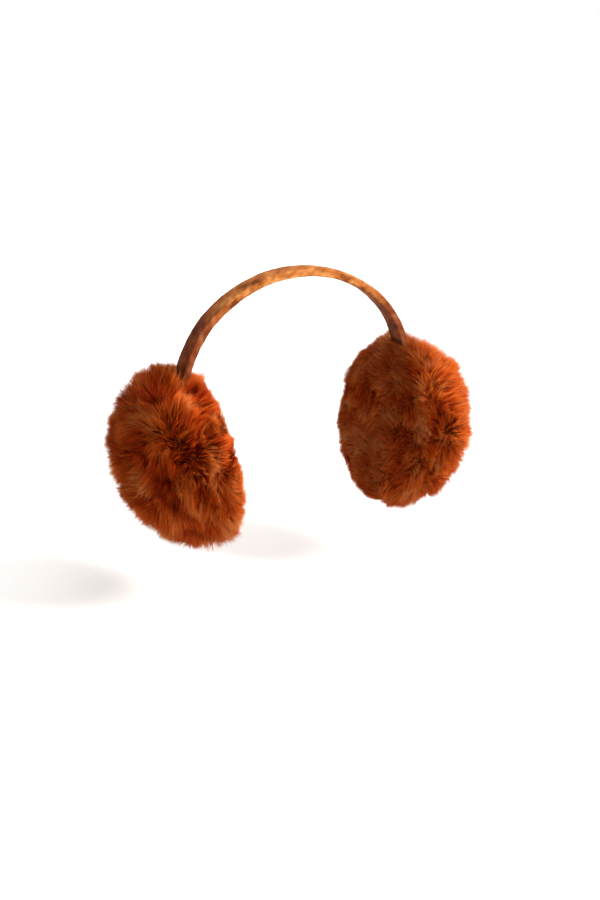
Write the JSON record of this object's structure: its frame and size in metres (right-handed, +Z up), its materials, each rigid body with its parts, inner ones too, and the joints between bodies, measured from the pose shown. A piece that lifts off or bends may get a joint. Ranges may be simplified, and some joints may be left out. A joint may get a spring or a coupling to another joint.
{
  "type": "fur earmuffs",
  "caption": "Earmuffs held open as worn: a slim velvet-covered sprung headband arches over the crown between domed pads of deep plush fur with flat inner faces.",
  "frame": {"origin": "the middle of the headband's inner face at its highest point, where it rests on the crown of the head", "axes": "+X from ear to ear, +Y to the back of the head, +Z up. The front of the head faces -Y; left and right are as seen from there"},
  "size_m": [0.2771, 0.1306, 0.1886],
  "materials": {
    "rust_velvet": "crushed velvet in mottled rust and brown, with a soft sheen, drawn tight over the band and creased along both edges",
    "rust_fur": "deep plush fur pile in rust orange, dark brown at the roots, in tufts and partings"
  },
  "bodies": {
    "root": {"headband": "rust_velvet", "ear_pad_left": "rust_fur", "ear_pad_right": "rust_fur"}
  },
  "joints": []
}
